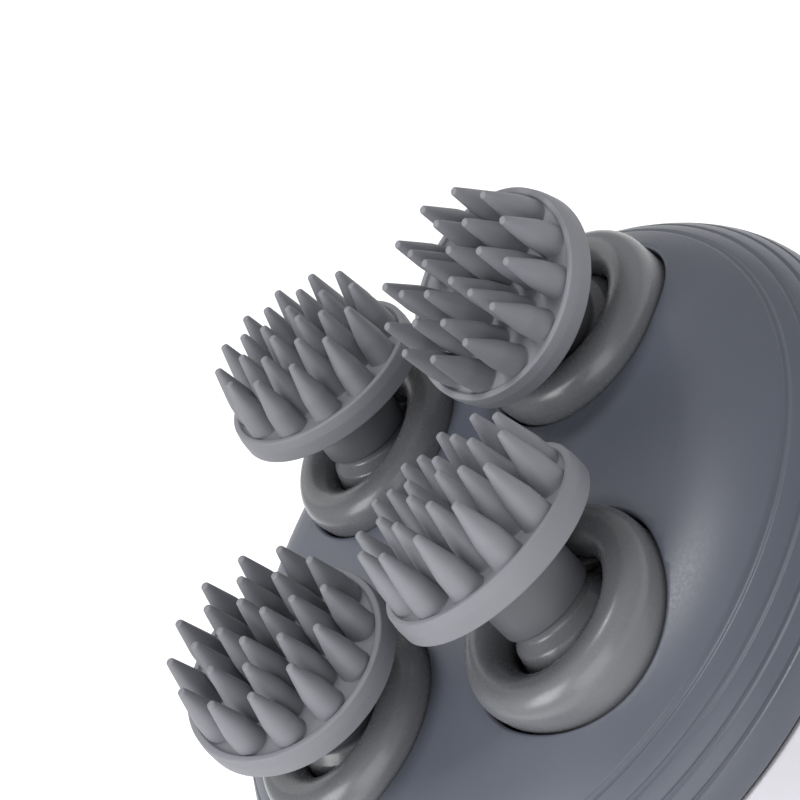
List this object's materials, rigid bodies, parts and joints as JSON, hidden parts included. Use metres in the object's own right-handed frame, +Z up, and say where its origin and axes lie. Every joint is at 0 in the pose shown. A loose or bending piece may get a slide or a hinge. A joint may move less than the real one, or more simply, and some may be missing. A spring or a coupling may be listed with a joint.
{
  "type": "electric scalp massager",
  "caption": "Handheld electric scalp massager: kneading silicone pin heads on a domed face, driven by a gear train, over a waisted palm grip with a power button.",
  "frame": {"origin": "middle of the underside, on the surface that the massager stands on", "axes": "+Z up along the main axis towards the heads, -Y towards the power button, +X to its right seen from the front"},
  "size_m": [0.095, 0.095, 0.0937],
  "materials": {
    "face_plastic": "satin slate blue-grey moulded ABS, fine texture",
    "grip_plastic": "pale grey-white satin moulded ABS",
    "boot_silicone": "grey silicone with a soft gloss",
    "pad_silicone": "neutral grey matt silicone",
    "hub_nylon": "grey moulded nylon",
    "gasket_rubber": "black silicone",
    "gear_acetal": "natural white acetal",
    "frame_nylon": "black glass-filled nylon",
    "steel": "zinc-plated steel",
    "brass": "turned brass",
    "contact_gold": "gold-plated contact",
    "bezel_chrome": "satin chrome plating",
    "diffuser": "milky light-diffusing polycarbonate",
    "cell_sleeve": "heat-shrunk vinyl sleeve",
    "board_laminate": "green solder mask on glass laminate"
  },
  "bodies": {
    "root": {"face_shell": "face_plastic", "seam_gasket": "gasket_rubber", "grip_shell": "grip_plastic", "foot_ring": "gasket_rubber", "gear_plate": "frame_nylon", "gear_cover": "frame_nylon", "sun_axle": "steel", "battery_cell": "cell_sleeve", "circuit_board": "board_laminate", "tact_switch": "frame_nylon", "light_ring": "diffuser", "button_bezel": "bezel_chrome", "motor_can": "steel", "motor_cap": "frame_nylon", "charge_contact_left": "contact_gold", "charge_contact_right": "contact_gold", "base_screw_left": "steel", "base_screw_right": "steel", "plate_screw_1": "steel", "plate_screw_2": "steel", "plate_screw_3": "steel", "plate_screw_4": "steel", "boot_1": "boot_silicone", "boot_2": "boot_silicone", "boot_3": "boot_silicone", "boot_4": "boot_silicone"},
    "sun": {"sun_gear": "gear_acetal"},
    "motor_rotor": {"motor_pinion": "brass"},
    "button": {"power_button": "face_plastic"},
    "crank_1": {"crank_gear_1": "gear_acetal", "head_screw_1": "steel"},
    "head_1": {"head_hub_1": "hub_nylon", "head_bush_1": "brass", "pin_pad_1": "pad_silicone"},
    "crank_2": {"crank_gear_2": "gear_acetal", "head_screw_2": "steel"},
    "head_2": {"head_hub_2": "hub_nylon", "head_bush_2": "brass", "pin_pad_2": "pad_silicone"},
    "crank_3": {"crank_gear_3": "gear_acetal", "head_screw_3": "steel"},
    "head_3": {"head_hub_3": "hub_nylon", "head_bush_3": "brass", "pin_pad_3": "pad_silicone"},
    "crank_4": {"crank_gear_4": "gear_acetal", "head_screw_4": "steel"},
    "head_4": {"head_hub_4": "hub_nylon", "head_bush_4": "brass", "pin_pad_4": "pad_silicone"}
  },
  "joints": [
    {"name": "sun_spin", "type": "hinge", "parent": "root", "child": "sun", "pos_m": [0, 0, 0.05], "axis": [0, 0, 1], "continuous": true},
    {"name": "motor_spin", "type": "hinge", "parent": "root", "child": "motor_rotor", "pos_m": [0, 0.018, 0.045], "axis": [0, 0, 1], "continuous": true},
    {"name": "button_press", "type": "slide", "parent": "root", "child": "button", "axis": [0, 1, 0], "range_m": [0, 0.0006], "stiffness_N_per_m": 400},
    {"name": "crank_1_spin", "type": "hinge", "parent": "root", "child": "crank_1", "pos_m": [0.02021, 0.01636, 0.05], "axis": [0, 0, 1], "continuous": true},
    {"name": "head_1_knead", "type": "hinge", "parent": "crank_1", "child": "head_1", "pos_m": [0.02021, 0.01636, 0.072], "axis": [0.1808, -0.208, 0.9613], "continuous": true},
    {"name": "crank_2_spin", "type": "hinge", "parent": "root", "child": "crank_2", "pos_m": [-0.02021, 0.01636, 0.05], "axis": [0, 0, 1], "continuous": true},
    {"name": "head_2_knead", "type": "hinge", "parent": "crank_2", "child": "head_2", "pos_m": [-0.02021, 0.01636, 0.072], "axis": [0.0192, -0.275, 0.9613], "continuous": true},
    {"name": "crank_3_spin", "type": "hinge", "parent": "root", "child": "crank_3", "pos_m": [-0.02021, -0.01636, 0.05], "axis": [0, 0, 1], "continuous": true},
    {"name": "head_3_knead", "type": "hinge", "parent": "crank_3", "child": "head_3", "pos_m": [-0.02021, -0.01636, 0.072], "axis": [0.2756, 0.0048, 0.9613], "continuous": true},
    {"name": "crank_4_spin", "type": "hinge", "parent": "root", "child": "crank_4", "pos_m": [0.02021, -0.01636, 0.05], "axis": [0, 0, 1], "continuous": true},
    {"name": "head_4_knead", "type": "hinge", "parent": "crank_4", "child": "head_4", "pos_m": [0.02021, -0.01636, 0.072], "axis": [-0.2736, 0.0336, 0.9613], "continuous": true}
  ],
  "couplings": [
    {"joint": "motor_spin", "follows": "sun_spin", "ratio": -4},
    {"joint": "crank_1_spin", "follows": "sun_spin", "ratio": -1},
    {"joint": "head_1_knead", "follows": "sun_spin", "ratio": 1},
    {"joint": "crank_2_spin", "follows": "sun_spin", "ratio": -1},
    {"joint": "head_2_knead", "follows": "sun_spin", "ratio": 1},
    {"joint": "crank_3_spin", "follows": "sun_spin", "ratio": -1},
    {"joint": "head_3_knead", "follows": "sun_spin", "ratio": 1},
    {"joint": "crank_4_spin", "follows": "sun_spin", "ratio": -1},
    {"joint": "head_4_knead", "follows": "sun_spin", "ratio": 1}
  ]
}
